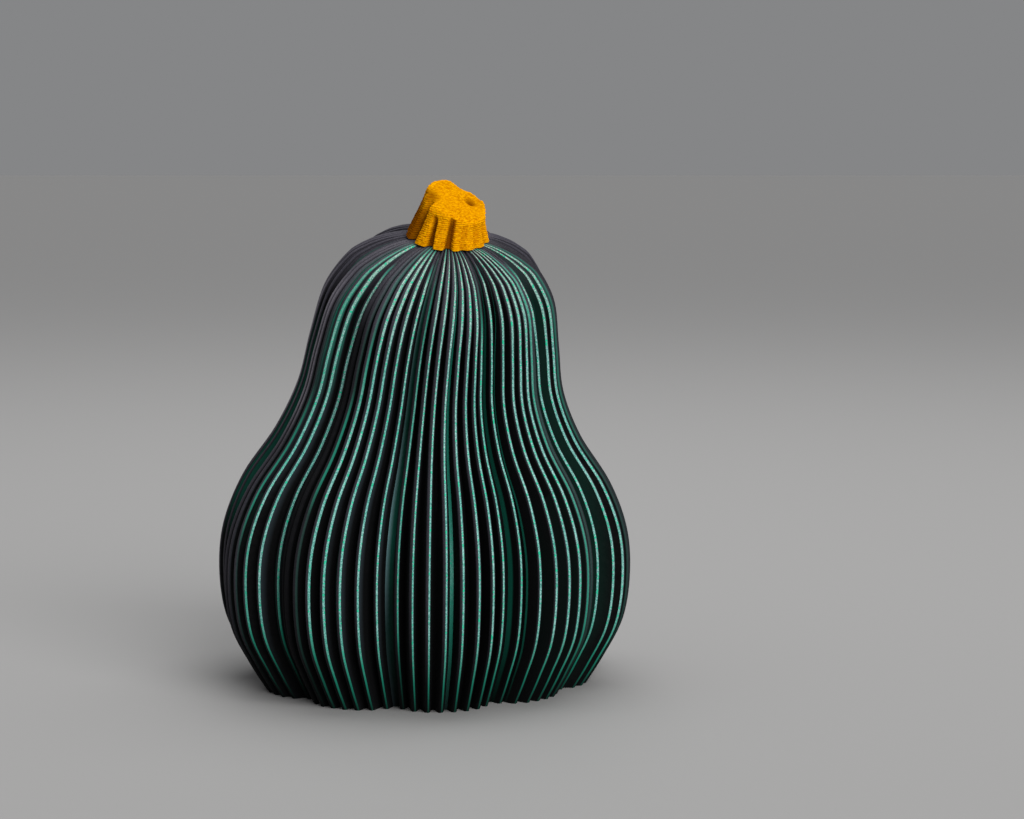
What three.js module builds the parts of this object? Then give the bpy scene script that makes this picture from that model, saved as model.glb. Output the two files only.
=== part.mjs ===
// Ribbed pumpkin ornament: a pear-shaped printed body of ten finned lobes, and a fluted stem
// whose peg sits in a socket in the body's crown.
// Millimetres, +Z up. The origin is the middle of the flat underside; the front faces -Y.
import * as THREE from "three";
import { mergeVertices } from "three/addons/utils/BufferGeometryUtils.js";

// Body: the outline through the fin tips on the middle of a lobe, as radius and height.
const BODY_HEIGHT = 132.0;
const OUTLINE = [
  [49.3, 0],
  [54.3, 8.0],
  [60.0, 19.3],
  [61.9, 33.0],
  [60.6, 46.8],
  [55.1, 60.6],
  [45.8, 74.4],
  [39.7, 88.1],
  [37.1, 101.9],
  [34.2, 115.5],
  [28.8, 124.2],
  [23.8, 127.9],
  [19.2, 130.0],
  [15.0, 131.3],
  [11.0, BODY_HEIGHT],
];

// The neck bends over: how far the crown's middle moves, and how far its plane tips, in degrees.
const LEAN_RIGHT = 7.7;
const LEAN_FRONT = 7.9;
const TIP_RIGHT = 4.8;
const TIP_FRONT = 19;

// Lobes, counted from the front one towards the right. They are all but evenly spaced:
// each has a turn added in degrees, and its own size.
const LOBES = 10;
const FRONT_LOBE_TURN = 9.8;
const LOBE_TURNS = [0, 1.9, 0.8, 0, 0, 0, 0, 0, 0.6, -1.0];
const LOBE_SIZES = [1, 0.971, 0.996, 1, 1, 1, 1, 1, 0.998, 1.005];
const LOBE_DEPTH_BELLY = 0.135;
const LOBE_DEPTH_CROWN = 0.28;
const LOBE_SHARPNESS = 2.65;

// Fins.
const FINS_PER_LOBE = 8;
const FIN_PITCH = 4.43;
const FIN_DEPTH_BELLY = 4.9;
const FIN_DEPTH_CROWN = 0.8;
const FIN_TIP_WIDTH = 1.2;
const FIN_ROOT_WIDTH = 3.7;

// Socket in the crown, which takes the stem's peg.
const SOCKET_RADIUS = 6.5;
const SOCKET_DEPTH = 5.3;
const SOCKET_POINTS = 60;
const FIT_GAP = 0.3;

// Stem: a stump with a slanting, torn cut and a rounded rim.
const STEM_FOOT_RADIUS = 12.2;
const STEM_TOP_RADIUS = 8.9;
const STEM_HEIGHT = 12.2;
const STEM_CUT_RIGHT = 20.5;
const STEM_CUT_FRONT = 15;
const STEM_SHIFT = 1.8;
const STEM_RIM = 0.87;
const RIM_ROUNDING = 1.5;
const STEM_POINTS = 112;

// Grooves up the stem's flank, all of them different: degrees from the front towards the right,
// degrees wandered on the way up, depth, half width in degrees, share of the way up reached.
const STEM_GROOVES = [
  [-59, -6, 2.2, 6.2, 1.1],
  [-26, -13, 2.1, 5.4, 0.84],
  [1.4, -5, 2.1, 6.4, 0.95],
  [22.4, 0, 0.7, 5, 0.85],
  [45, 0, 0.6, 5, 0.85],
  [70, 0, 0.8, 6, 0.9],
  [95, 0, 1.5, 6, 0.95],
  [120, 0, 1.8, 6, 0.9],
  [145, 0, 1.6, 6, 0.85],
  [170, 0, 1.9, 6, 0.9],
  [195, 0, 1.7, 6, 0.85],
  [220, 0, 1.9, 6, 0.9],
  [243, 0, 1.8, 6, 0.95],
  [266, 0, 1.6, 6, 0.95],
];

// Lumps and hollows on the cut: millimetres right and back, size, rise.
const CUT_LUMPS = [
  [3.0, 8.8, 2.6, -1.1],
  [10.2, 3.4, 1.7, 1.2],
  [-5.6, -3.6, 2.8, -1.8],
  [5.8, 2.6, 1.4, -1.8],
  [-7.1, 0.2, 0.9, -0.9],
];

const rad = THREE.MathUtils.degToRad;
const lerp = THREE.MathUtils.lerp;

// Curve through the outline points; its parameter runs from the foot to the crown.
const outline = new THREE.SplineCurve(OUTLINE.map(([r, z]) => new THREE.Vector2(r, z)));

// Carry a point given about the straight axis, at a height, onto the bent neck.
function bend(x, y, height, above = 0) {
  const t = height / BODY_HEIGHT;
  const share = t ** 3;
  const point = new THREE.Vector3(x, y, above);
  point.applyAxisAngle(new THREE.Vector3(0, 1, 0), rad(TIP_RIGHT) * share);
  point.applyAxisAngle(new THREE.Vector3(1, 0, 0), rad(TIP_FRONT) * share);
  return point.add(new THREE.Vector3(LEAN_RIGHT * share, -LEAN_FRONT * share, height));
}

// Point at an angle from the front, turning towards the right.
function around(radius, angle, height, above) {
  return bend(radius * Math.sin(angle), -radius * Math.cos(angle), height, above);
}

// How much of the lobe's middle radius is left at a share of its half width from the middle.
function lobeShare(across, t) {
  const depth = lerp(LOBE_DEPTH_BELLY, LOBE_DEPTH_CROWN, Math.max(0, (t - 0.7) / 0.3) ** 2);
  return 1 - depth * Math.abs(across) ** LOBE_SHARPNESS;
}

function finDepth(radius, t) {
  const full = FIN_DEPTH_BELLY * Math.min(1, radius / 60) ** 0.7;
  return lerp(full, FIN_DEPTH_CROWN, Math.max(0, (t - 0.75) / 0.25) ** 1.5);
}

// One closed ring of the outer skin: four points to a fin, two at its tip and two at its roots.
function skinRing(along) {
  const { x: radius, y: height } = outline.getPoint(along);
  const tangent = outline.getTangent(along);
  const inward = tangent.y;
  const down = Math.max(0, -tangent.x);
  const t = height / BODY_HEIGHT;
  const depth = finDepth(radius, t);
  const pitch = radius * rad(FIN_PITCH);
  const tip = Math.min(FIN_TIP_WIDTH, 0.36 * pitch) / 2 / radius;
  const root = Math.min(FIN_ROOT_WIDTH, 0.78 * pitch) / 2 / radius;
  const halfLobe = Math.PI / LOBES;
  const ring = [];
  for (let lobe = 0; lobe < LOBES; lobe++) {
    const middle = rad(FRONT_LOBE_TURN + LOBE_TURNS[lobe]) + 2 * halfLobe * lobe;
    for (let fin = 0; fin < FINS_PER_LOBE; fin++) {
      const local = rad(FIN_PITCH) * (fin - (FINS_PER_LOBE - 1) / 2);
      const outer = radius * LOBE_SIZES[lobe] * lobeShare(local / halfLobe, t);
      for (const [offset, sunk] of [[-root, depth], [-tip, 0], [tip, 0], [root, depth]]) {
        ring.push(around(outer - sunk * inward, middle + local + offset, height, -sunk * down));
      }
    }
  }
  return ring;
}

// A plain circle square to the bent neck at the crown.
function crownCircle(radius, count, above) {
  const ring = [];
  for (let i = 0; i < count; i++) {
    ring.push(around(radius, (2 * Math.PI * i) / count, BODY_HEIGHT, above));
  }
  return ring;
}

// Triangles between two closed rings that run the same way round, whatever their counts.
function join(faces, low, high) {
  let i = 0;
  let j = 0;
  while (i < low.length || j < high.length) {
    const a = low[i % low.length];
    const b = high[j % high.length];
    if (j >= high.length || (i < low.length && (i + 1) / low.length <= (j + 1) / high.length)) {
      faces.push([a, low[(i + 1) % low.length], b]);
      i++;
    } else {
      faces.push([a, high[(j + 1) % high.length], b]);
      j++;
    }
  }
}

// A flat or gently dished cap over a ring, facing the way its corners turn.
function cap(faces, ring) {
  const flat = ring.map((p) => new THREE.Vector2(p.x, p.y));
  const turn = THREE.ShapeUtils.area(flat);
  for (const [a, b, c] of THREE.ShapeUtils.triangulateShape(flat, [])) {
    const same = THREE.ShapeUtils.area([flat[a], flat[b], flat[c]]) * turn > 0;
    faces.push(same ? [ring[a], ring[b], ring[c]] : [ring[a], ring[c], ring[b]]);
  }
}

function solid(name, faces, material) {
  const positions = new Float32Array(faces.flat().flatMap((p) => [p.x, p.y, p.z]));
  const loose = new THREE.BufferGeometry();
  loose.setAttribute("position", new THREE.BufferAttribute(positions, 3));
  const geometry = mergeVertices(loose, 1e-4);
  geometry.computeVertexNormals();
  const mesh = new THREE.Mesh(geometry, material);
  mesh.name = name;
  return mesh;
}

const filament = new THREE.MeshStandardMaterial({ color: 0x1c3a33, roughness: 0.38, metalness: 0.1 });
const mustard = new THREE.MeshStandardMaterial({ color: 0xd08c0a, roughness: 0.8, metalness: 0 });

function ribbedBody() {
  const stations = [0, 0.055, 0.12, 0.18, 0.25, 0.32, 0.39, 0.46, 0.53, 0.6, 0.67, 0.74, 0.82, 0.91, 1];
  const skin = stations.map(skinRing);
  const socketTop = crownCircle(SOCKET_RADIUS, SOCKET_POINTS, 0);
  const socketEnd = crownCircle(SOCKET_RADIUS, SOCKET_POINTS, -SOCKET_DEPTH);
  const faces = [];
  cap(faces, [...skin[0]].reverse());
  for (let i = 0; i + 1 < skin.length; i++) join(faces, skin[i], skin[i + 1]);
  join(faces, skin.at(-1), socketTop);
  join(faces, socketTop, socketEnd);
  cap(faces, socketEnd);
  return solid("ribbed_body", faces, filament);
}

// Depth of the stem's grooves at an angle and a share of the way up.
function grooveDepth(angle, v) {
  let sum = 0;
  for (const [at, wander, depth, halfWidth, reach] of STEM_GROOVES) {
    const turned = angle - rad(at + wander * v) + Math.PI;
    const off = (THREE.MathUtils.euclideanModulo(turned, 2 * Math.PI) - Math.PI) / rad(halfWidth);
    sum += depth * Math.max(0, 1 - (v / reach) ** 7) * Math.exp(-(off ** 4));
  }
  return sum;
}

// Height of the torn cut above the crown.
function cutHeight(x, y) {
  let height = STEM_HEIGHT - x * Math.tan(rad(STEM_CUT_RIGHT)) + y * Math.tan(rad(STEM_CUT_FRONT));
  for (const [right, back, size, rise] of CUT_LUMPS) {
    height += rise * Math.exp(-(((x - right) ** 2 + (y - back) ** 2) / size ** 2));
  }
  return height;
}

// One ring of the stem: how far up, how far its edge is rounded in, how much of its width is left.
function stemRing(v, inset, width, count) {
  const swell = lerp(STEM_FOOT_RADIUS, STEM_TOP_RADIUS, 1 - (1 - v) ** 1.6);
  const ring = [];
  for (let i = 0; i < count; i++) {
    const angle = (2 * Math.PI * i) / count;
    const r = (swell - grooveDepth(angle, v) - RIM_ROUNDING * inset) * width;
    const x = r * Math.sin(angle) + STEM_SHIFT * v;
    const y = -r * Math.cos(angle);
    ring.push(bend(x, y, BODY_HEIGHT, lerp(FIT_GAP, cutHeight(x, y), v)));
  }
  return ring;
}

function stem() {
  const peg = SOCKET_RADIUS - FIT_GAP;
  const pegEnd = crownCircle(peg, SOCKET_POINTS, FIT_GAP - SOCKET_DEPTH);
  const rings = [pegEnd, crownCircle(peg, SOCKET_POINTS, FIT_GAP)];
  for (const v of [0, 0.2, 0.4, 0.6, 0.75, STEM_RIM]) rings.push(stemRing(v, 0, 1, STEM_POINTS));
  for (const turn of [30, 60, 90]) {
    const rise = lerp(STEM_RIM, 1, Math.sin(rad(turn)));
    rings.push(stemRing(rise, 1 - Math.cos(rad(turn)), 1, STEM_POINTS));
  }
  for (const [width, count] of [[0.85, 84], [0.68, 56], [0.5, 40], [0.32, 28], [0.15, 14]]) {
    rings.push(stemRing(1, 1, width, count));
  }
  const faces = [];
  cap(faces, [...pegEnd].reverse());
  for (let i = 0; i + 1 < rings.length; i++) join(faces, rings[i], rings[i + 1]);
  cap(faces, rings.at(-1));
  return solid("stem", faces, mustard);
}

const pumpkin = new THREE.Group();
pumpkin.name = "ribbed_pumpkin";
pumpkin.add(ribbedBody(), stem());

export default pumpkin;
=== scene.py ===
import math

import bpy
import numpy as np
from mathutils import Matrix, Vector


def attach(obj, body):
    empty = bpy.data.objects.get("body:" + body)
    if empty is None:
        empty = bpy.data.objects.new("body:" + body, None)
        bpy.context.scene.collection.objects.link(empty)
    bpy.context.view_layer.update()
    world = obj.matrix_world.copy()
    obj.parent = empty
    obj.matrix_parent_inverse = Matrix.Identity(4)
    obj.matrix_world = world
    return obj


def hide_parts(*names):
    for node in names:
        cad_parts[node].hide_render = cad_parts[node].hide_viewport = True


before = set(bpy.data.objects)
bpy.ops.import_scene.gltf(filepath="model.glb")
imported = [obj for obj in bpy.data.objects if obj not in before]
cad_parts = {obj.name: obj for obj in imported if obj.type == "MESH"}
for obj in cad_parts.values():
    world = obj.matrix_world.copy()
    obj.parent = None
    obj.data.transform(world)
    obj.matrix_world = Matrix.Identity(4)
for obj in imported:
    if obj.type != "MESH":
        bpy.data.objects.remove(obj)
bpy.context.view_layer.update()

# ---------------------------------------------------------------------------
# The ribbed body: a pear of ten lobes, each with eight thin upright fins,
# printed standing up in one piece from silk filament that is black on one
# side and green on the other. The neck nods over towards the front.
# ---------------------------------------------------------------------------
MM = 0.001
BODY_HEIGHT = 132.0

# Through the fin tips on the middle of a lobe, as radius and height.
OUTLINE = (
    (49.3, 0.0), (54.3, 8.0), (60.0, 19.3), (61.9, 33.0), (60.6, 46.8),
    (55.1, 60.6), (45.8, 74.4), (39.7, 88.1), (37.1, 101.9), (34.2, 115.5),
    (28.8, 124.2), (23.8, 127.9), (19.2, 130.0), (15.0, 131.3), (11.0, BODY_HEIGHT),
)
RINGS_PER_SPAN = 7

# Lobes, counted from the front one towards the right: each has its own turn and size. They
# are deeper towards the crown, from a share of the height on.
LOBES = 10
LOBE_TURNS = (0, 1.9, 0.8, 0, 0, 0, 0, 0, 0.6, -1.0)
LOBE_SIZES = (1, 0.971, 0.996, 1, 1, 1, 1, 1, 0.998, 1.005)
LOBE_SHARPNESS = 2.65
LOBE_DEPTH_BELLY, LOBE_DEPTH_CROWN = 0.135, 0.28
LOBES_DEEPEN_FROM = 0.7

# Fins: full depth where the body is wide, and all but gone at the crown, where their crests
# spread out. A crest and a root each take no more than a share of the pitch.
FINS_PER_LOBE = 8
FIN_PITCH = 4.43
MIDDLE_FIN = (FINS_PER_LOBE - 1) / 2
FIN_DEPTH_BELLY, FIN_DEPTH_CROWN = 4.9, 0.8
FULL_FIN_RADIUS = 60
FINS_FADE_FROM = 0.75
CRESTS_SPREAD_FROM, CRESTS_SPREAD_TO = 0.8, 0.92
CREST_WIDENS = 1.35
CREST_SHARE, CREST_SHARE_CROWN = 0.54, 0.78
ROOT_SHARE, ROOT_SHARE_CROWN = 0.78, 0.92

SOCKET_RADIUS, SOCKET_DEPTH = 6.5, 5.3

# Across one fin: a round crest between two roots. Each point's distance from the middle is a
# share of half the tip's or half the root's width, and so is how far the crest has rounded down.
ARC = (-80, -56, -36, -18, 0, 18, 36, 56, 80)
CREST = (0, *(math.sin(math.radians(a)) for a in ARC), 0)
ROUNDED = (0, *(1 - math.cos(math.radians(a)) for a in ARC), 0)
ROOT = (-1, *(0 for a in ARC), 1)

BODY_INPUTS = {
    "Lobes": LOBES,
    "Fins per lobe": FINS_PER_LOBE,
    "Points per fin": len(CREST),
    "Fin pitch": math.radians(FIN_PITCH),
    "Fin tip width": 1.6 * MM,
    "Fin root width": 3.7 * MM,
    "Front lobe turn": math.radians(9.8),
    "Lobe sharpness": LOBE_SHARPNESS,
    "Lean right": 7.7 * MM,
    "Lean front": 7.9 * MM,
    "Tip right": math.radians(4.8),
    "Tip front": math.radians(19.0),
    "Body height": BODY_HEIGHT * MM,
}


def ramp(value, start, end):
    """Goes from 0 at the start to 1 at the end, which may be the lower of the two."""
    return np.clip((value - start) / (end - start), 0, 1)


def lobe_depth(height):
    """How deep the valleys between the lobes are at a height, as a share of the radius."""
    near_crown = ramp(height, LOBES_DEEPEN_FROM * BODY_HEIGHT, BODY_HEIGHT) ** 2
    return LOBE_DEPTH_BELLY + (LOBE_DEPTH_CROWN - LOBE_DEPTH_BELLY) * near_crown


def outline_at(share):
    """Radius and height, and the way the outline heads, at a share of its spans from the foot."""
    place = share * (len(OUTLINE) - 1)
    span = min(int(place), len(OUTLINE) - 2)
    u = place - span
    before, start, end, after = (np.array(OUTLINE[min(max(k, 0), len(OUTLINE) - 1)])
                                 for k in range(span - 1, span + 3))
    leave, arrive = (end - before) / 2, (after - start) / 2
    cubic = 2 * start - 2 * end + leave + arrive
    square = 3 * end - 3 * start - 2 * leave - arrive
    heading = 3 * cubic * u**2 + 2 * square * u + leave
    return cubic * u**3 + square * u**2 + leave * u + start, heading / np.linalg.norm(heading)


def body_rings():
    """Rings from the middle of the underside, up the skin and down into the stem's socket."""
    plain = dict(lobe=0, inward=0, down=0, depth=0, full=0)
    rings = [dict(plain, radius=0, height=0, drop=0)]
    count = (len(OUTLINE) - 1) * RINGS_PER_SPAN
    for k in range(count + 1):
        (radius, height), (outward, up) = outline_at(k / count)
        t = height / BODY_HEIGHT
        deepest = FIN_DEPTH_BELLY * min(1.0, radius / FULL_FIN_RADIUS) ** 0.7
        rings.append(dict(
            radius=radius, height=height, drop=0,
            lobe=lobe_depth(height),
            depth=deepest + (FIN_DEPTH_CROWN - deepest) * ramp(t, FINS_FADE_FROM, 1) ** 1.5,
            full=ramp(t, CRESTS_SPREAD_FROM, CRESTS_SPREAD_TO),
            inward=up, down=max(0.0, -outward)))
    for radius, drop in ((SOCKET_RADIUS, 0), (SOCKET_RADIUS, SOCKET_DEPTH), (0, SOCKET_DEPTH)):
        rings.append(dict(plain, radius=radius, height=BODY_HEIGHT, drop=drop))
    return rings


def ring_line(name, points, **numbers):
    """A line with one point for each ring of a piece, which carries the ring's numbers."""
    line = bpy.data.meshes.new(name)
    line.from_pydata(points, [(k, k + 1) for k in range(len(points) - 1)], [])
    for key, values in numbers.items():
        line.attributes.new(key, "FLOAT", "POINT").data.foreach_set("value", np.array(values, np.float32))
    held = bpy.data.objects.new(name, line)
    bpy.context.scene.collection.objects.link(held)
    return held


rings = body_rings()
ribbed_body = ring_line(
    "ribbed_body_print", [(ring["radius"] * MM, 0, ring["height"] * MM) for ring in rings],
    **{key: [ring[key] for ring in rings] for key in ("lobe", "inward", "down", "full")},
    **{key: [ring[key] * MM for ring in rings] for key in ("depth", "drop")})


def plug(tree, socket, value):
    """Links a socket to another socket, or sets it to a value."""
    if isinstance(value, bpy.types.NodeSocket):
        tree.links.new(value, socket)
    else:
        socket.default_value = value


def add(tree, kind, settings=(), **inputs):
    """Adds a node with its settings and its named inputs."""
    made = tree.nodes.new(kind)
    for key, value in dict(settings).items():
        setattr(made, key, value)
    for key, value in inputs.items():
        plug(tree, made.inputs[key.replace("_", " ")], value)
    return made


def reckon(tree, operation, *values):
    """One step of arithmetic."""
    made = add(tree, "ShaderNodeMath", {"operation": operation})
    for socket, value in zip(made.inputs, values):
        plug(tree, socket, value)
    return made.outputs[0]


def between(tree, share, low, high):
    """The number at a share of the way from a low one to a high one."""
    return reckon(tree, "MULTIPLY_ADD", share, high - low, low)


def pick(tree, index, values):
    """The number that a list gives for an index."""
    made = add(tree, "GeometryNodeIndexSwitch", {"data_type": "FLOAT"})
    while len(made.index_switch_items) < len(values):
        made.index_switch_items.new()
    plug(tree, made.inputs["Index"], index)
    for socket, value in zip(list(made.inputs)[1:], values):
        socket.default_value = value
    return made.outputs[0]


def start_tree(name, inputs):
    """A tree that turns a ring line into a skin, with a named input for each size."""
    tree = bpy.data.node_groups.new(name, "GeometryNodeTree")
    tree.interface.new_socket("Ring line", in_out="INPUT", socket_type="NodeSocketGeometry")
    tree.interface.new_socket("Skin", in_out="OUTPUT", socket_type="NodeSocketGeometry")
    for key, value in inputs.items():
        kind = "NodeSocketInt" if isinstance(value, int) else "NodeSocketFloat"
        tree.interface.new_socket(key, in_out="INPUT", socket_type=kind)
    tree.interface.new_socket("Filament", in_out="INPUT", socket_type="NodeSocketMaterial")
    return tree, add(tree, "NodeGroupInput").outputs


def whole_part(tree, index, size):
    """How many whole runs of a size lie before an index."""
    return reckon(tree, "FLOOR", reckon(tree, "DIVIDE", reckon(tree, "ADD", index, 0.5), size))


def rest_after(tree, index, whole, size):
    """The place of an index within its own run."""
    return reckon(tree, "SUBTRACT", index, reckon(tree, "MULTIPLY", whole, size))


def ring_grid(tree, given, columns):
    """A grid of rings and columns, a corner's column, its ring's place, and its ring's numbers."""
    ring_count = add(tree, "GeometryNodeAttributeDomainSize",
                     Geometry=given["Ring line"]).outputs["Point Count"]
    grid = add(tree, "GeometryNodeMeshGrid", Vertices_X=reckon(tree, "ADD", columns, 1),
               Vertices_Y=ring_count).outputs["Mesh"]
    index = add(tree, "GeometryNodeInputIndex").outputs[0]
    column = whole_part(tree, index, ring_count)
    ring = rest_after(tree, index, column, ring_count)

    def of_ring(kind, value):
        sample = add(tree, "GeometryNodeSampleIndex", {"data_type": kind, "clamp": True},
                     Geometry=given["Ring line"], Index=ring)
        plug(tree, sample.inputs["Value"], value)
        return sample.outputs[0]

    def number(key):
        named = add(tree, "GeometryNodeInputNamedAttribute", {"data_type": "FLOAT"}, Name=key)
        return of_ring("FLOAT", named.outputs["Attribute"])

    place = add(tree, "ShaderNodeSeparateXYZ",
                Vector=of_ring("FLOAT_VECTOR", add(tree, "GeometryNodeInputPosition").outputs[0]))
    return grid, reckon(tree, "MODULO", column, columns), place, number


def onto_neck(tree, given, point, height):
    """Carries a point given about the straight axis onto the nodding neck at a height."""
    share = reckon(tree, "POWER", reckon(tree, "DIVIDE", height, given["Body height"]), 3)
    for axis, turn in (("Y_AXIS", "Tip right"), ("X_AXIS", "Tip front")):
        point = add(tree, "ShaderNodeVectorRotate", {"rotation_type": axis}, Vector=point,
                    Angle=reckon(tree, "MULTIPLY", given[turn], share)).outputs[0]
    right = reckon(tree, "MULTIPLY", given["Lean right"], share)
    front = reckon(tree, "MULTIPLY", given["Lean front"], share)
    lean = add(tree, "ShaderNodeCombineXYZ", X=right, Y=reckon(tree, "MULTIPLY", front, -1), Z=height)
    moved = add(tree, "ShaderNodeVectorMath", {"operation": "ADD"})
    plug(tree, moved.inputs[0], point)
    plug(tree, moved.inputs[1], lean.outputs[0])
    return moved.outputs[0]


def store(tree, skin, name, value):
    """Leaves a number on the points of the skin."""
    return add(tree, "GeometryNodeStoreNamedAttribute", {"data_type": "FLOAT", "domain": "POINT"},
               Geometry=skin, Name=name, Value=value).outputs[0]


def finish_tree(tree, given, skin):
    """Welds the seam and the poles, makes it one real mesh, and gives it its filament."""
    skin = add(tree, "GeometryNodeMergeByDistance", Geometry=skin, Distance=0.01 * MM).outputs[0]
    skin = add(tree, "GeometryNodeRealizeInstances", Geometry=skin).outputs[0]
    skin = add(tree, "GeometryNodeSetMaterial", Geometry=skin, Material=given["Filament"]).outputs[0]
    plug(tree, add(tree, "NodeGroupOutput").inputs[0], skin)


def run_tree(piece, tree, inputs, filament):
    """Runs the tree on a piece and leaves its result as the piece's own plain mesh."""
    maker = piece.modifiers.new("maker", "NODES")
    maker.node_group = tree
    for item in tree.interface.items_tree:
        if item.in_out == "INPUT" and item.name in inputs:
            maker[item.identifier] = inputs[item.name]
        elif item.name == "Filament":
            maker[item.identifier] = filament
    made = bpy.data.meshes.new_from_object(piece.evaluated_get(bpy.context.evaluated_depsgraph_get()))
    made.name = piece.name
    piece.modifiers.remove(maker)
    piece.data = made
    return made


fins, given = start_tree("fins on a lobed pear", BODY_INPUTS)
per_lobe = reckon(fins, "MULTIPLY", given["Fins per lobe"], given["Points per fin"])
grid, column, place, number = ring_grid(fins, given, reckon(fins, "MULTIPLY", given["Lobes"], per_lobe))
radius, height = place.outputs["X"], place.outputs["Z"]
lobe = whole_part(fins, column, per_lobe)
in_lobe = rest_after(fins, column, lobe, per_lobe)
fin = whole_part(fins, in_lobe, given["Points per fin"])
step = rest_after(fins, in_lobe, fin, given["Points per fin"])

# Where the point lies across its fin, as an angle, and how far below the crest's line it is.
safe_radius = reckon(fins, "MAXIMUM", radius, MM)
pitch = reckon(fins, "MULTIPLY", safe_radius, given["Fin pitch"])
full = number("full")
tip = reckon(fins, "MINIMUM",
             reckon(fins, "MULTIPLY", given["Fin tip width"], between(fins, full, 1, CREST_WIDENS)),
             reckon(fins, "MULTIPLY", pitch, between(fins, full, CREST_SHARE, CREST_SHARE_CROWN)))
root = reckon(fins, "MINIMUM", given["Fin root width"],
              reckon(fins, "MULTIPLY", pitch, between(fins, full, ROOT_SHARE, ROOT_SHARE_CROWN)))
width = reckon(fins, "ADD", reckon(fins, "MULTIPLY", tip, pick(fins, step, CREST)),
               reckon(fins, "MULTIPLY", root, pick(fins, step, ROOT)))
offset = reckon(fins, "DIVIDE", reckon(fins, "MULTIPLY", width, 0.5), safe_radius)
at_root = reckon(fins, "ABSOLUTE", pick(fins, step, ROOT))
sunk = reckon(fins, "MULTIPLY", reckon(fins, "MULTIPLY", tip, 0.5), pick(fins, step, ROUNDED))
sunk = reckon(fins, "MULTIPLY_ADD", at_root, number("depth"), sunk)
sunk = reckon(fins, "MINIMUM", sunk, number("depth"))

# Where the fin stands on its lobe, and how far out the lobe reaches there.
half_lobe = reckon(fins, "DIVIDE", math.pi, given["Lobes"])
middle_fin = reckon(fins, "MULTIPLY", reckon(fins, "SUBTRACT", given["Fins per lobe"], 1), 0.5)
local = reckon(fins, "MULTIPLY", given["Fin pitch"], reckon(fins, "SUBTRACT", fin, middle_fin))
across = reckon(fins, "DIVIDE", reckon(fins, "ABSOLUTE", local), half_lobe)
bulge = reckon(fins, "SUBTRACT", 1, reckon(fins, "MULTIPLY", number("lobe"),
                                           reckon(fins, "POWER", across, given["Lobe sharpness"])))
on_skin = reckon(fins, "GREATER_THAN", number("lobe"), 0)
uneven = reckon(fins, "MULTIPLY", on_skin, reckon(fins, "SUBTRACT", pick(fins, lobe, LOBE_SIZES), 1))
reach = reckon(fins, "MULTIPLY", reckon(fins, "MULTIPLY", radius, reckon(fins, "ADD", 1, uneven)), bulge)
reach = reckon(fins, "SUBTRACT", reach, reckon(fins, "MULTIPLY", sunk, number("inward")))
middle = reckon(fins, "ADD", given["Front lobe turn"],
                pick(fins, lobe, [math.radians(turn) for turn in LOBE_TURNS]))
whole_lobe = reckon(fins, "MULTIPLY", half_lobe, 2)
middle = reckon(fins, "ADD", middle, reckon(fins, "MULTIPLY", lobe, whole_lobe))
angle = reckon(fins, "ADD", middle, reckon(fins, "ADD", local, offset))
below = reckon(fins, "ADD", reckon(fins, "MULTIPLY", sunk, number("down")), number("drop"))
right = reckon(fins, "MULTIPLY", reach, reckon(fins, "SINE", angle))
back = reckon(fins, "MULTIPLY", reckon(fins, "MULTIPLY", reach, -1), reckon(fins, "COSINE", angle))
straight = add(fins, "ShaderNodeCombineXYZ", X=right, Y=back,
               Z=reckon(fins, "MULTIPLY", below, -1)).outputs[0]
skin = store(fins, grid, "at_root", at_root)
skin = store(fins, skin, "fin_at", reckon(fins, "DEGREES", reckon(fins, "ADD", middle, local)))
skin = store(fins, skin, "arc", pick(fins, step, (0, *ARC, 0)))
skin = store(fins, skin, "fin", fin)
skin = store(fins, skin, "ring_radius", radius)
skin = add(fins, "GeometryNodeSetPosition", Geometry=skin,
           Position=onto_neck(fins, given, straight, height)).outputs[0]
finish_tree(fins, given, skin)

# Silk filament: green where the mesh says so, black elsewhere, and laid in fine layers. The
# green goes from deep to pale in a fine glitter, and turns emerald where there is little of it.
GREEN_FULL, GREEN_GONE = 0.8, 1.15
DEEP_GREENS = (0.04, 0.28, 0.22, 1), (0.08, 0.32, 0.27, 1)
PALE_GREENS = (0.27, 0.66, 0.60, 1), (0.44, 0.77, 0.72, 1)
DEEP_GREEN_CROWN, PALE_GREEN_CROWN = (0.11, 0.28, 0.22, 1), (0.52, 0.73, 0.62, 1)
CROWN_GREEN_FROM, CROWN_GREEN_TO = 98, 128
SPARK_GREEN = (0.01, 0.62, 0.34, 1)
EMERALD = (0.02, 0.50, 0.33, 1)
CREST_BLACKS_WITH_SHEEN = (0.035, 0.034, 0.046, 1), (0.083, 0.077, 0.097, 1)
SHADED_GROOVE_BLACK = (0.0006, 0.0008, 0.0012, 1)
CREST_SHEENS = (0.128, 0.119, 0.139, 1), (0.26, 0.241, 0.283, 1)
FLANK_SHEEN = (0.17, 0.24, 0.29, 1)
LAYER_HEIGHT = 0.28
GLITTER_SIZE, DRIFT_SIZE, SPARK_SIZE, SHEEN_SIZE, GRAIN_SIZE = 0.3, 14.0, 0.42, 1.3, 0.35


def blend(tree, factor, low, high):
    """Mixes two colours."""
    made = add(tree, "ShaderNodeMix", {"data_type": "RGBA"})
    for k, value in ((0, factor), (6, low), (7, high)):
        plug(tree, made.inputs[k], value)
    return made.outputs[2]


def speckle(tree, place, size, stretch=(1, 1, 1), detail=2.0):
    """Noise with features of a size in millimetres, stretched along an axis."""
    scaled = add(tree, "ShaderNodeMapping", Vector=place, Scale=[1 / (size * MM * s) for s in stretch])
    noise = add(tree, "ShaderNodeTexNoise", Vector=scaled.outputs[0], Scale=1.0, Detail=detail)
    return noise.outputs["Fac"]


def spread(tree, value, low, high, out_low=0.0, out_high=1.0):
    """Stretches a range of a value to another range, held at its ends."""
    return add(tree, "ShaderNodeMapRange", Value=value, From_Min=low, From_Max=high,
               To_Min=out_low, To_Max=out_high).outputs[0]


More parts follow.
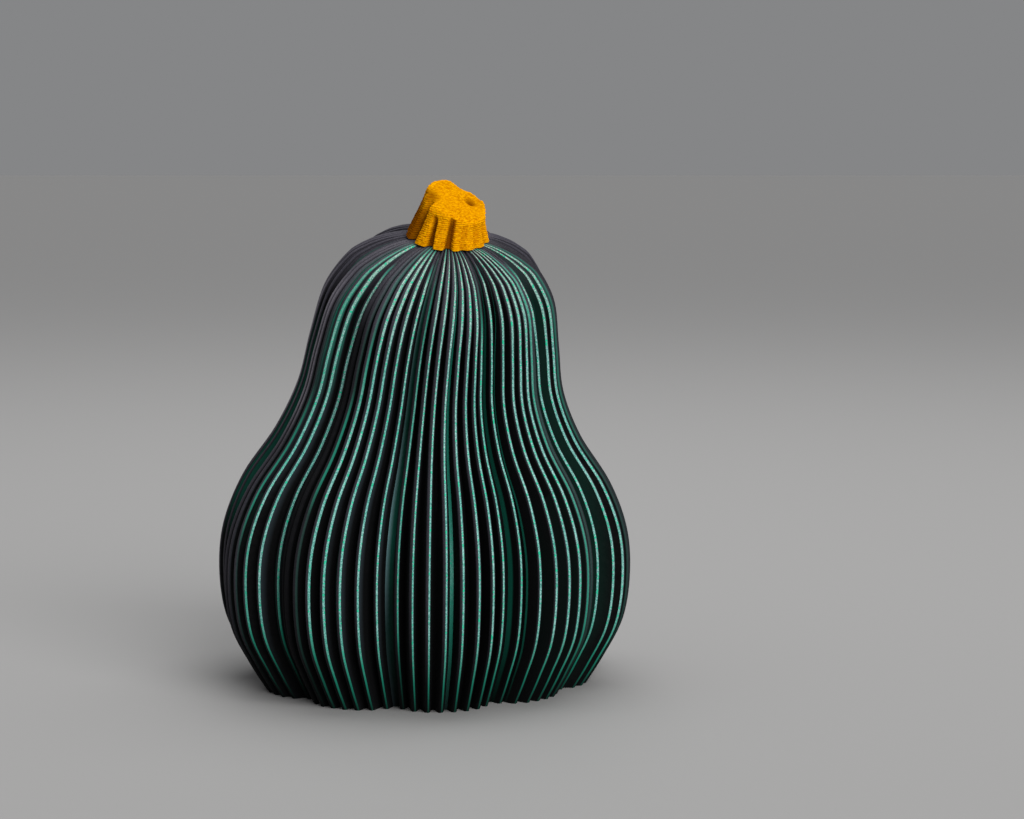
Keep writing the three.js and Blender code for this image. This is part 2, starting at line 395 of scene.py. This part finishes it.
def left_on_mesh(tree, name):
    """A number that lies on the corners of the piece's faces."""
    return add(tree, "ShaderNodeAttribute", {"attribute_name": name}).outputs["Fac"]


silk = bpy.data.materials.new("black_and_green_silk_filament")
silk.use_nodes = True
look = silk.node_tree
look.nodes.clear()
gloss = add(look, "ShaderNodeBsdfPrincipled")
add(look, "ShaderNodeOutputMaterial", Surface=gloss.outputs[0])
gloss.inputs["IOR"].default_value = 1.46
gloss.inputs["Specular IOR Level"].default_value = 0.16
place = add(look, "ShaderNodeTexCoord").outputs["Object"]
up = add(look, "ShaderNodeSeparateXYZ", Vector=place).outputs["Z"]
green_share = left_on_mesh(look, "green_share")
depth = left_on_mesh(look, "painted_shade")
green_side = reckon(look, "MULTIPLY", green_share,
                    spread(look, left_on_mesh(look, "turned"), GREEN_FULL, GREEN_GONE, 1, 0))

glitter = spread(look, speckle(look, place, GLITTER_SIZE, (1, 1, 1.3)), 0.37, 0.66)
drift = spread(look, speckle(look, place, DRIFT_SIZE, (1, 1, 2)), 0.35, 0.65)
near_stem = spread(look, up, CROWN_GREEN_FROM * MM, CROWN_GREEN_TO * MM)
deep_green = blend(look, near_stem, blend(look, drift, *DEEP_GREENS), DEEP_GREEN_CROWN)
pale_green = blend(look, near_stem, blend(look, drift, *PALE_GREENS), PALE_GREEN_CROWN)
green_shade = blend(look, glitter, deep_green, pale_green)
spark = add(look, "ShaderNodeTexVoronoi", Vector=place, Scale=1 / (SPARK_SIZE * MM)).outputs["Color"]
spark = add(look, "ShaderNodeSeparateColor", Color=spark).outputs[0]
green_shade = blend(look, spread(look, spark, 0.86, 0.9), green_shade, SPARK_GREEN)
green_shade = blend(look, spread(look, green_share, 0.4, 1), EMERALD, green_shade)

layers = reckon(look, "SINE", reckon(look, "MULTIPLY", up, 2 * math.pi / (LAYER_HEIGHT * MM)))
streaks = reckon(look, "MULTIPLY_ADD", layers, 0.3, reckon(look, "MULTIPLY_ADD", glitter, 0.6, 0.2))
# The black is lighter on the crests, partly painted sheen, and goes near black in painted shade where the
# mesh says so.
black = blend(look, depth, blend(look, streaks, *CREST_BLACKS_WITH_SHEEN), SHADED_GROOVE_BLACK)
# Where the mesh's pale number says so, the black takes a paler painted sheen.
painted_sheen = blend(look, spread(look, depth, 0.9, 1), blend(look, streaks, *CREST_SHEENS), FLANK_SHEEN)
black = blend(look, left_on_mesh(look, "pale"), black, painted_sheen)
plug(look, gloss.inputs["Base Color"], blend(look, green_side, black, green_shade))
rough = spread(look, speckle(look, place, SHEEN_SIZE), 0.3, 0.7, 0.36, 0.5)
plug(look, gloss.inputs["Roughness"], reckon(look, "ADD", rough, reckon(look, "MULTIPLY", depth, 0.4)))
grain = speckle(look, place, GRAIN_SIZE, (1, 1, 0.6), 1.0)
relief = reckon(look, "ADD", reckon(look, "MULTIPLY", layers, 0.5), grain)
plug(look, gloss.inputs["Normal"], add(look, "ShaderNodeBump", Strength=0.35, Distance=0.06 * MM,
                                       Height=relief).outputs[0])

body_mesh = run_tree(ribbed_body, fins, BODY_INPUTS, silk)
body_mesh.set_sharp_from_angle(angle=math.radians(50))

# How the green and the painted sheen lie, for the rules below. Angles are degrees from the front towards
# the right, heights are millimetres, and a fin is named by the angle that it stands at.
GREEN_EDGE, GREEN_HALF_WIDTH = 48, 18
WIDER_ON_LEFT, WIDER_ON_RIGHT = 0.28, 0.1

# Fins whose crests show less green than the rest: the fin, heights, and the share of it there.
FIN_GREEN = (
    (-59.4, (44, 58, 78, 90), (0.1, 1, 0.8, 0.1)),
    (-55.0, (42, 56, 84, 95, 104, 114), (0.7, 1, 1, 0.82, 0.88, 0.7)),
    (-50.5, (84, 95, 106), (1, 0.87, 1)),
    (-46.1, (20, 45, 60), (0.5, 0.9, 1)),
    (-33.8, (56, 66, 80, 90), (0.05, 0.4, 0.4, 0.05)),
    (-29.4, (14, 30, 75, 90, 108), (0.5, 1, 1, 0.7, 0.15)),
    (-5.7, (14, 30), (0.35, 1)),
    (25.3, (100, 112), (1, 0.25)),
    (54.3, (40, 90), (0.5, 0.65)),
    (58.8, (40, 90), (0.85, 1)),
    (80.4, (60, 85), (0.1, 0.35)),
)

# Groove floors that show more green than the rest, and how much more.
GREEN_FLOORS = ((9.8, 0.3), (34.4, 0.2), (-8.7, 0.05))
BRIGHT_FLOOR, VALLEY_FLOOR = 9.8, -8.7

# Fins whose left flank is green beside the root: the fin, and how narrow the strip is.
GREEN_FLANKS = ((32.2, 2.2), (36.6, 6))

# Fins whose right flank has painted sheen beside the crest: the fin, and how strong it is.
SHEENED_FLANKS = ((-50.5, 0.8), (-46.1, 0.3), (-25.0, 0.35), (-20.6, 0.75), (-16.1, 0.9), (-11.7, 0.85),
                (-1.3, 0.2))


def read(elements, key, width=1, kind=np.float32):
    """One property of all the points, corners or faces of the body."""
    values = np.zeros(len(elements) * width, kind)
    elements.foreach_get(key, values)
    return values if width == 1 else values.reshape(-1, width)


def at_corners(name):
    """A number that the tree left at the points, for each corner of the faces."""
    return read(body_mesh.attributes[name].data, "value")[corner_point]


def over_face(values):
    """The mean over each corner's face."""
    return (np.bincount(face_of, values) / face_size)[face_of]


def swell(value, middle, reach):
    """A smooth bump of height 1."""
    return np.exp(-((value - middle) / reach) ** 2)


def on_fin(at):
    """Whether a corner lies on the fin that stands at an angle."""
    return np.abs(fin_at - at) < 1


def fins_between(low, high):
    """Whether a corner lies on a fin that stands between two angles."""
    return (fin_at > low) & (fin_at < high)


corner_point = read(body_mesh.loops, "vertex_index", kind=np.int32)
face_size = read(body_mesh.polygons, "loop_total", kind=np.int32)
face_of = np.repeat(np.arange(len(face_size)), face_size)
places = read(body_mesh.vertices, "co", 3)[corner_point] / MM
right_at, height = places[:, 0], places[:, 2]
normals = read(body_mesh.corner_normals, "vector", 3)
faces = np.degrees(np.arctan2(normals[:, 0], -normals[:, 1]))
fin_at = (at_corners("fin_at") + 180) % 360 - 180
fin, arc, at_root = at_corners("fin"), at_corners("arc"), at_corners("at_root")
crest, floors = over_face(at_root) < 0.1, over_face(at_root) > 0.9
flanks = ~crest & ~floors
right_flanks = flanks & (faces > 5)
left_fins = fins_between(-61, -44)
to_crown = ramp(height, 112, 124)
from_stem = ramp(at_corners("ring_radius") / MM, 12.5, 17.5)

# A floor between two lobes joins the last fin of one to the first fin of the next.
floor_at = over_face(fin_at)
between_lobes = over_face(fin ** 2) - over_face(fin) ** 2 > 4

# A fin's crest is turned with its lobe's surface.
half_lobe = 180 / LOBES
across = (fin - MIDDLE_FIN) * FIN_PITCH / half_lobe
bulge = LOBE_DEPTH_BELLY + (LOBE_DEPTH_CROWN - LOBE_DEPTH_BELLY) * ramp(height, 92, BODY_HEIGHT) ** 2
slope = bulge * LOBE_SHARPNESS * np.abs(across) ** (LOBE_SHARPNESS - 1) / math.radians(half_lobe)
slope /= 1 - bulge * np.abs(across) ** LOBE_SHARPNESS
lobe_turn = np.degrees(np.arctan(slope)) * np.sign(across)
facing = fin_at + lobe_turn

# The green is a band along each crest that ends where the crest faces the green's edge. It is
# wider on the fins at the sides. On the left fins it fades out softly up the neck.
half = np.where(fin_at < 0, (GREEN_HALF_WIDTH - WIDER_ON_LEFT * fin_at) * (1 + 0.3 * to_crown),
                (GREEN_HALF_WIDTH + WIDER_ON_RIGHT * fin_at) * (1 - 0.2 * to_crown))
half *= np.where(on_fin(-55.0), 1 - 0.3 * to_crown, 1)
turned = np.abs(fin_at + arc - (GREEN_EDGE - half)) / half
soft = np.where(left_fins, np.interp(height, (62, 80, 108, 120), (0, 0.3, 0.3, 0.1)), 0)
turned = np.where(turned > 0.5, 0.5 + (turned - 0.5) * (1 - soft), turned)

# Crests that face away from the front have no green, nor have the outermost ones at the crown.
share = ramp(facing, -66, -46) * ramp(facing, 88, 72) * ramp(fin_at, -79, -69) * ramp(fin_at, 88, 80)
for at, heights, shares in FIN_GREEN:
    share *= np.where(on_fin(at), np.interp(height, heights, shares), 1)
share *= np.where(np.abs(across) > 0.8, ramp(height, 125, 119), 1)

# The floors and the flanks show far less of it, and only where they face near the front.
on_floor = np.where(between_lobes, 0.04, 0.08)
on_floor = on_floor + sum(more * swell(floor_at, at, 2) for at, more in GREEN_FLOORS)
on_floor *= 1 + 0.8 * swell(height, 43, 12) * (np.abs(floor_at - BRIGHT_FLOOR) < 1)
up_valley = np.interp(height, (32, 50, 70), (0.5, 1.7, 1))
on_floor *= np.where(np.abs(floor_at - VALLEY_FLOOR) < 2, up_valley, 1)
on_right = np.where(fin_at > 62, 0.03, 0.008)
on_left = 0.1 * ramp(height, 42, 57) * ramp(height, 112, 92)
for region, middle, reach, strength in (
        (floors, 8, 25, on_floor),
        (flanks & (right_at > 0), -18, 14, on_right),
        (flanks & (right_at <= 0), -12, 6, on_left)):
    turned = np.where(region, np.abs(faces - middle) / reach, turned)
    share = np.where(region, strength, share)
turned = np.where(right_flanks & left_fins, 3.5 * at_root, turned)
share = np.where(right_flanks & left_fins, 0.25 * ramp(height, 85, 110), share)
for at, narrow in GREEN_FLANKS:
    by_root = flanks & on_fin(at) & (faces < 5)
    turned = np.where(by_root, narrow * (1 - at_root), turned)
    share = np.where(by_root, 0.25, share)

# It fades out on the flat top, beside the stem and down at the foot; the fading at the foot is painted
# shade.
share *= ramp(np.abs(normals[:, 2]), 0.995, 0.975)
share *= np.where(fins_between(-28, 36), 0.5 + 0.5 * from_stem, 1)
share *= 0.08 + 0.92 * ramp(height, 0.5, 24.5)
share *= np.where(fin_at < -40, ramp(height, -2, 23), 1)

# Painted shade on the black: darkest in the grooves, at the foot, in the valleys between the lobes,
# on the crests' edges, up the left lobe's neck, and on the fins beyond the right side, and more lower
# down.
shaded = np.minimum(ramp(height, 118, 58), 0.4) + 0.6 * ramp(height, 36, 8)
in_valley = np.where(fins_between(-44, -36), 0.9, np.where(on_fin(-33.8), 0.6, 0))
darkest = np.maximum.reduce((
    0.6 * ramp(np.abs(across), 0.37, 0.86) * ramp(fin_at, -60, -52) * (1 - 0.6 * to_crown),
    in_valley * ramp(height, 126, 106),
    0.9 * ramp(np.abs(arc), 48, 80),
    0.5 * fins_between(-64, -44) * ramp(height, 60, 75) * ramp(height, 122, 107),
    0.55 * ramp(fin_at, 76, 82) * ramp(fin_at, 104, 98)))
painted_shade = np.where(crest, shaded + (1 - shaded) * darkest, 1 - 0.85 * ramp(height, 114, 128))

# How much pale painted sheen the black takes. The crests at the far left take it, most of all on the
# neck.
pale = (0.18 + 0.8 * ramp(height, 70, 86) * ramp(height, 124, 116)) * ramp(facing, -50, -70)
pale *= ramp(height, 45, 85) * ramp(np.abs(arc - 10), 44.8, 12.8)
pale = np.where(crest & (fin_at < -60), pale, 0)

# So do some right flanks beside their crests and two groove floors, and everything round the stem.
flank_sheen_share = sum(strength * on_fin(at) for at, strength in SHEENED_FLANKS)
flank_sheen_share = np.where(left_fins, np.maximum(flank_sheen_share, ramp(height, 55, 80)), flank_sheen_share)
flank_sheen_share *= np.interp(height, (8, 32, 108, 128), (0.1, 1, 1, 0))
pale = np.where(right_flanks & (fin_at < 0), 0.15 * (1 - 2 * at_root) * flank_sheen_share, pale)
along = np.interp(height, (24, 34, 50, 62, 80), (0.15, 0.7, 1.6, 1.1, 0.4))
in_front = floors & between_lobes & (np.abs(floor_at) < 20)
pale = np.where(in_front, np.where(fin > MIDDLE_FIN, 0.66, -0.5) * along, pale)
pale = np.where(floors & (np.abs(floor_at - BRIGHT_FLOOR) < 1), 0.06 + 0.25 * swell(height, 43, 12), pale)
pale = np.where(from_stem < 1, np.maximum(pale, 0.18 * (1 - from_stem)), pale)

corner_numbers = {"turned": turned, "green_share": share, "painted_shade": painted_shade, "pale": pale}
for name, values in corner_numbers.items():
    on_corners = body_mesh.attributes.new(name, "FLOAT", "CORNER")
    on_corners.data.foreach_set("value", values.astype(np.float32))

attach(ribbed_body, "root")
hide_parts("ribbed_body")

# ---------------------------------------------------------------------------
# The stem: a separate print in mustard filament with a fuzzy skin, fluted at
# the foot and cut off at a slant. Its peg sits in the socket in the crown.
# ---------------------------------------------------------------------------
FIT_GAP = 0.3
STEM_INPUTS = {
    "Columns": 360,
    "Foot radius": 12.2 * MM,
    "Top radius": 8.9 * MM,
    "Stem height": 12.2 * MM,
    "Cut right": math.tan(math.radians(20.5)),
    "Cut front": math.tan(math.radians(15)),
    "Shift": 1.8 * MM,
    "Fit gap": FIT_GAP * MM,
    "Peg radius": (SOCKET_RADIUS - FIT_GAP) * MM,
    "Rim rounding": 1.5 * MM,
    "Fuzz": 0.27 * MM,
    "Fuzz size": 0.75 * MM,
    "Layer ridge": 0.06 * MM,
    "Layer height": 0.57 * MM,
    "Seed": 3.0,
    **{key: BODY_INPUTS[key]
       for key in ("Lean right", "Lean front", "Tip right", "Tip front", "Body height")},
}

# The rounded rim starts at a share of the height, and is sharper on the right.
RIM_FROM = 0.87
SHARPER_RIM = 0.55
FLANK_RINGS, RIM_RINGS, CUT_RINGS = 70, 12, 30

# How the flank narrows on the way up, how steep a groove's walls are, and how suddenly it ends.
NARROWING_CURVE = 1.6
GROOVE_WALL, GROOVE_END = 4, 7

# Grooves, as degrees from the front towards the right, how far they wander on the way up,
# depth, half width in degrees, and how far up they reach.
DEEPEST_GROOVE = 2.2
GROOVES = ((-59, -6, DEEPEST_GROOVE, 6.2, 1.1), (-26, -13, 2.1, 5.4, 0.84), (1.4, -5, 2.1, 5.9, 0.95),
           (22.4, 0, 0.7, 5, 0.85), (45, 0, 0.6, 5, 0.85), (70, 0, 0.8, 6, 0.9), (95, 0, 1.5, 6, 0.95),
           (120, 0, 1.8, 6, 0.9), (145, 0, 1.6, 6, 0.85), (170, 0, 1.9, 6, 0.9), (195, 0, 1.7, 6, 0.85),
           (220, 0, 1.9, 6, 0.9), (243, 0, 1.8, 6, 0.95), (266, 0, 1.6, 6, 0.95))

# The cut face is torn: lumps and hollows, as right, back, size, rise and how much painted shade it gets.
CUT_LUMPS = ((3.0, 8.8, 2.6, -1.1, 0), (10.2, 3.4, 1.7, 1.2, 0), (-5.4, -1.4, 2.6, -1.0, 0.72),
             (5.8, 2.9, 1.9, -1.4, 0.85), (-7.1, 0.2, 0.9, -0.7, 0.3), (-0.5, 6.5, 2.0, 0.5, 0),
             (-6.0, -6.5, 3.6, -1.8, 0))

# Rings of the stem: how far up the flank, how far the edge is rounded in, how much of the rim's
# width is left, and whether the ring is on the peg, which has its own height.
PEG_END = FIT_GAP - SOCKET_DEPTH
stem_rings = [(0, 0, 0, 1, PEG_END), (0, 0, 1, 1, PEG_END), (0, 0, 1, 1, FIT_GAP)]
stem_rings += [(v, 0, 1, 0, 0) for v in np.linspace(0, RIM_FROM, FLANK_RINGS)]
stem_rings += [(RIM_FROM + (1 - RIM_FROM) * math.sin(a), 1 - math.cos(a), 1, 0, 0)
               for a in np.linspace(0, math.pi / 2, RIM_RINGS)[1:]]
stem_rings += [(1, 1, width, 0, 0) for width in np.linspace(0.965, 0, CUT_RINGS)]
fluted_stem = ring_line(
    "fluted_stem_print", [(0, 0, ring[4] * MM) for ring in stem_rings],
    rise=[ring[0] for ring in stem_rings], inset=[ring[1] for ring in stem_rings],
    spoke=[ring[2] for ring in stem_rings], peg=[ring[3] for ring in stem_rings])

flutes, given = start_tree("a fluted stump with a peg", STEM_INPUTS)
grid, column, place, number = ring_grid(flutes, given, given["Columns"])
rise, spoke, peg = number("rise"), number("spoke"), number("peg")
angle = reckon(flutes, "DIVIDE", reckon(flutes, "MULTIPLY", column, 2 * math.pi), given["Columns"])
groove = 0.0
for at, wander, deep, wide, end in GROOVES:
    off = reckon(flutes, "MULTIPLY_ADD", rise, math.radians(-wander),
                 reckon(flutes, "SUBTRACT", angle, math.radians(at)))
    off = reckon(flutes, "DIVIDE", reckon(flutes, "WRAP", off, math.pi, -math.pi), math.radians(wide))
    wall = reckon(flutes, "MULTIPLY", reckon(flutes, "POWER", off, GROOVE_WALL), -1)
    spent = reckon(flutes, "POWER", reckon(flutes, "DIVIDE", rise, end), GROOVE_END)
    left = reckon(flutes, "MAXIMUM", reckon(flutes, "SUBTRACT", 1, spent), 0)
    dip = reckon(flutes, "MULTIPLY", reckon(flutes, "EXPONENT", wall),
                 reckon(flutes, "MULTIPLY", left, deep * MM))
    groove = reckon(flutes, "ADD", groove, dip)
to_rim = reckon(flutes, "POWER", reckon(flutes, "SUBTRACT", 1, rise), NARROWING_CURVE)
narrower = reckon(flutes, "SUBTRACT", given["Top radius"], given["Foot radius"])
stump = reckon(flutes, "MULTIPLY_ADD", narrower, reckon(flutes, "SUBTRACT", 1, to_rim),
               given["Foot radius"])
rightward = reckon(flutes, "MAXIMUM", reckon(flutes, "SINE", angle), 0)
rounding = reckon(flutes, "MULTIPLY", given["Rim rounding"],
                  reckon(flutes, "MULTIPLY_ADD", rightward, -SHARPER_RIM, 1))
inset = reckon(flutes, "MULTIPLY", rounding, number("inset"))
flank = reckon(flutes, "SUBTRACT", reckon(flutes, "SUBTRACT", stump, groove), inset)
off_peg = reckon(flutes, "SUBTRACT", 1, peg)
reach = reckon(flutes, "ADD", reckon(flutes, "MULTIPLY", flank, off_peg),
               reckon(flutes, "MULTIPLY", given["Peg radius"], peg))
reach = reckon(flutes, "MULTIPLY", spoke, reach)
right = reckon(flutes, "MULTIPLY_ADD", reach, reckon(flutes, "SINE", angle),
               reckon(flutes, "MULTIPLY", given["Shift"], rise))
back = reckon(flutes, "MULTIPLY", reckon(flutes, "MULTIPLY", reach, -1), reckon(flutes, "COSINE", angle))

# The slanting cut with its lumps, and the painted shade in its hollows.
cut = reckon(flutes, "SUBTRACT", given["Stem height"],
             reckon(flutes, "MULTIPLY", right, given["Cut right"]))
cut = reckon(flutes, "ADD", cut, reckon(flutes, "MULTIPLY", back, given["Cut front"]))
hollow = 0.0
flat = add(flutes, "ShaderNodeCombineXYZ", X=right, Y=back).outputs[0]
for at_right, at_back, size, rise_by, dark in CUT_LUMPS:
    apart = add(flutes, "ShaderNodeVectorMath", {"operation": "DISTANCE"})
    plug(flutes, apart.inputs[0], flat)
    apart.inputs[1].default_value = (at_right * MM, at_back * MM, 0)
    lump = reckon(flutes, "DIVIDE", apart.outputs["Value"], size * MM)
    lump = reckon(flutes, "MULTIPLY", reckon(flutes, "MULTIPLY", lump, lump), -1)
    lump = reckon(flutes, "EXPONENT", lump)
    cut = reckon(flutes, "MULTIPLY_ADD", lump, rise_by * MM, cut)
    hollow = reckon(flutes, "MULTIPLY_ADD", reckon(flutes, "MULTIPLY", lump, dark), rise, hollow)
above_gap = reckon(flutes, "SUBTRACT", cut, given["Fit gap"])
tall = reckon(flutes, "MULTIPLY_ADD", above_gap, rise, given["Fit gap"])
tall = reckon(flutes, "ADD", reckon(flutes, "MULTIPLY", tall, off_peg),
              reckon(flutes, "MULTIPLY", place.outputs["Z"], peg))
straight = add(flutes, "ShaderNodeCombineXYZ", X=right, Y=back, Z=tall).outputs[0]

# Painted shade: the flutes are a darker brown than the ridges, and the left face and the cut a little.
LEFT_FACE_SHADE, CUT_FACE_SHADE, FADING_UP = 0.9, 0.23, 0.4
leftward = reckon(flutes, "MULTIPLY_ADD", reckon(flutes, "SINE", angle), -3.0, -1.9)
leftward = reckon(flutes, "MINIMUM", reckon(flutes, "MAXIMUM", leftward, 0), 1)
leftward = reckon(flutes, "MULTIPLY", leftward, LEFT_FACE_SHADE)
below_rim = reckon(flutes, "SUBTRACT", 1, reckon(flutes, "POWER", rise, 3))
leftward = reckon(flutes, "MULTIPLY", leftward, below_rim)
on_cut = reckon(flutes, "MULTIPLY", reckon(flutes, "LESS_THAN", spoke, 0.97), CUT_FACE_SHADE)
fading = reckon(flutes, "MULTIPLY_ADD", reckon(flutes, "POWER", rise, 2), -FADING_UP, 1)
stem_shade = reckon(flutes, "DIVIDE", groove, DEEPEST_GROOVE * MM)
shaded = reckon(flutes, "MULTIPLY", reckon(flutes, "MULTIPLY", stem_shade, spoke), fading)
for more_shade in (hollow, leftward, on_cut):
    shaded = reckon(flutes, "MAXIMUM", shaded, more_shade)
skin = store(flutes, grid, "stem_shade", shaded)
skin = add(flutes, "GeometryNodeSetPosition", Geometry=skin, Position=straight).outputs[0]

# The fuzzy skin: the nozzle shivers in and out as it goes round, so each layer is rough.
here = add(flutes, "GeometryNodeInputPosition").outputs[0]
shiver = add(flutes, "ShaderNodeTexNoise", {"noise_dimensions": "4D"}, Vector=here, W=given["Seed"],
             Scale=reckon(flutes, "DIVIDE", 1, given["Fuzz size"]), Detail=1.5).outputs["Fac"]
shiver = reckon(flutes, "MULTIPLY", reckon(flutes, "SUBTRACT", shiver, 0.5),
                reckon(flutes, "MULTIPLY", given["Fuzz"], 2))
height = add(flutes, "ShaderNodeSeparateXYZ", Vector=here).outputs["Z"]
ridge = reckon(flutes, "SINE", reckon(flutes, "DIVIDE", reckon(flutes, "MULTIPLY", height, 2 * math.pi),
                                      given["Layer height"]))
ridge = reckon(flutes, "MULTIPLY", reckon(flutes, "MULTIPLY", ridge, given["Layer ridge"]),
               reckon(flutes, "GREATER_THAN", spoke, 0.99))
above_foot = reckon(flutes, "MINIMUM", 1, reckon(flutes, "MULTIPLY", rise, 12))
rough = reckon(flutes, "MULTIPLY", reckon(flutes, "ADD", shiver, ridge),
               reckon(flutes, "MULTIPLY", off_peg, above_foot))
stand = add(flutes, "ShaderNodeVectorMath", {"operation": "SCALE"}, Scale=rough)
plug(flutes, stand.inputs[0], add(flutes, "GeometryNodeInputNormal").outputs[0])
skin = add(flutes, "GeometryNodeSetPosition", Geometry=skin, Offset=stand.outputs[0]).outputs[0]
here = add(flutes, "GeometryNodeInputPosition").outputs[0]
skin = add(flutes, "GeometryNodeSetPosition", Geometry=skin,
           Position=onto_neck(flutes, given, here, given["Body height"])).outputs[0]
finish_tree(flutes, given, skin)

# Mustard filament: matte, warm in patches, with a painted highlight on the tips of the fuzz and painted
# shade, brown, in the flutes.
MUSTARDS = (0.60, 0.20, 0.0004, 1), (0.74, 0.275, 0.0006, 1)
LIT_MUSTARD, SHADED_MUSTARD = (0.98, 0.44, 0.0008, 1), (0.18, 0.044, 0.0002, 1)
TIP_SIZE, PATCH_SIZE, STEM_GRAIN_SIZE = 0.45, 5.0, 0.3

mustard = bpy.data.materials.new("fuzzy_mustard_filament")
mustard.use_nodes = True
look = mustard.node_tree
look.nodes.clear()
matte = add(look, "ShaderNodeBsdfPrincipled")
add(look, "ShaderNodeOutputMaterial", Surface=matte.outputs[0])
matte.inputs["Roughness"].default_value = 0.85
matte.inputs["Specular IOR Level"].default_value = 0.0
place = add(look, "ShaderNodeTexCoord").outputs["Object"]
tips = spread(look, speckle(look, place, TIP_SIZE, (2, 2, 0.8)), 0.36, 0.64)
patches = spread(look, speckle(look, place, PATCH_SIZE), 0.35, 0.65)
lit = blend(look, tips, blend(look, patches, *MUSTARDS), LIT_MUSTARD)
shade = spread(look, left_on_mesh(look, "stem_shade"), 0.13, 0.8, 0, 0.92)
plug(look, matte.inputs["Base Color"], blend(look, shade, lit, SHADED_MUSTARD))
grain = speckle(look, place, STEM_GRAIN_SIZE, (1, 1, 0.7))
plug(look, matte.inputs["Normal"], add(look, "ShaderNodeBump", Strength=0.4, Distance=0.12 * MM,
                                       Height=grain).outputs[0])

run_tree(fluted_stem, flutes, STEM_INPUTS, mustard)
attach(fluted_stem, "root")
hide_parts("stem")

# ---------------------------------------------------------------------------
# The floor it stands on, a wide pale sheet, in a pale room with a soft square
# light overhead and a window's soft light from the front right, and the camera.
# ---------------------------------------------------------------------------
FLOOR_REACH = 40
floor_mesh = bpy.data.meshes.new("floor")
floor_corners = ((-1, -1), (1, -1), (1, 1), (-1, 1))
floor_mesh.from_pydata([(x * FLOOR_REACH, y * FLOOR_REACH, 0) for x, y in floor_corners],
                       [], [(0, 1, 2, 3)])
floor = bpy.data.objects.new("floor", floor_mesh)
bpy.context.scene.collection.objects.link(floor)
pale_floor = bpy.data.materials.new("pale_floor")
pale_floor.use_nodes = True
pale_floor.node_tree.nodes["Principled BSDF"].inputs["Base Color"].default_value = (0.42, 0.415, 0.41, 1)
pale_floor.node_tree.nodes["Principled BSDF"].inputs["Roughness"].default_value = 0.7
floor_mesh.materials.append(pale_floor)

room = bpy.data.worlds.new("pale_room")
room.use_nodes = True
room.node_tree.nodes["Background"].inputs["Color"].default_value = (0.94, 0.95, 0.97, 1)
room.node_tree.nodes["Background"].inputs["Strength"].default_value = 0.25
bpy.context.scene.world = room


def hang_light(name, kind, energy, heading, place=(0, 0, 0)):
    """A light of the room that shines along a heading."""
    lamp = bpy.data.lights.new(name, kind)
    lamp.energy = energy
    held = bpy.data.objects.new(name, lamp)
    held.location = place
    held.rotation_euler = Vector(heading).to_track_quat("-Z", "Y").to_euler()
    bpy.context.scene.collection.objects.link(held)
    return lamp


LIT_POINT = Vector((0, 0, 0.08))
CEILING_PLACE = Vector((0.1, 0.25, 1.25))
ceiling = hang_light("ceiling", "AREA", 8, LIT_POINT - CEILING_PLACE, CEILING_PLACE)
ceiling.shape, ceiling.size = "SQUARE", 1.2
window = hang_light("window", "SUN", 2.2, (-0.48, 0.85, -0.52))
window.angle = math.radians(45)

lens = bpy.data.cameras.new("camera")
lens.sensor_width, lens.lens = 36.0, 87.07
camera = bpy.data.objects.new("camera", lens)
camera.location = (0.02649, -0.73156, 0.15259)
camera.rotation_euler = (math.radians(90 - 5.615), 0, 0)
bpy.context.scene.collection.objects.link(camera)
bpy.context.scene.camera = camera
bpy.context.scene.view_settings.view_transform = "Standard"
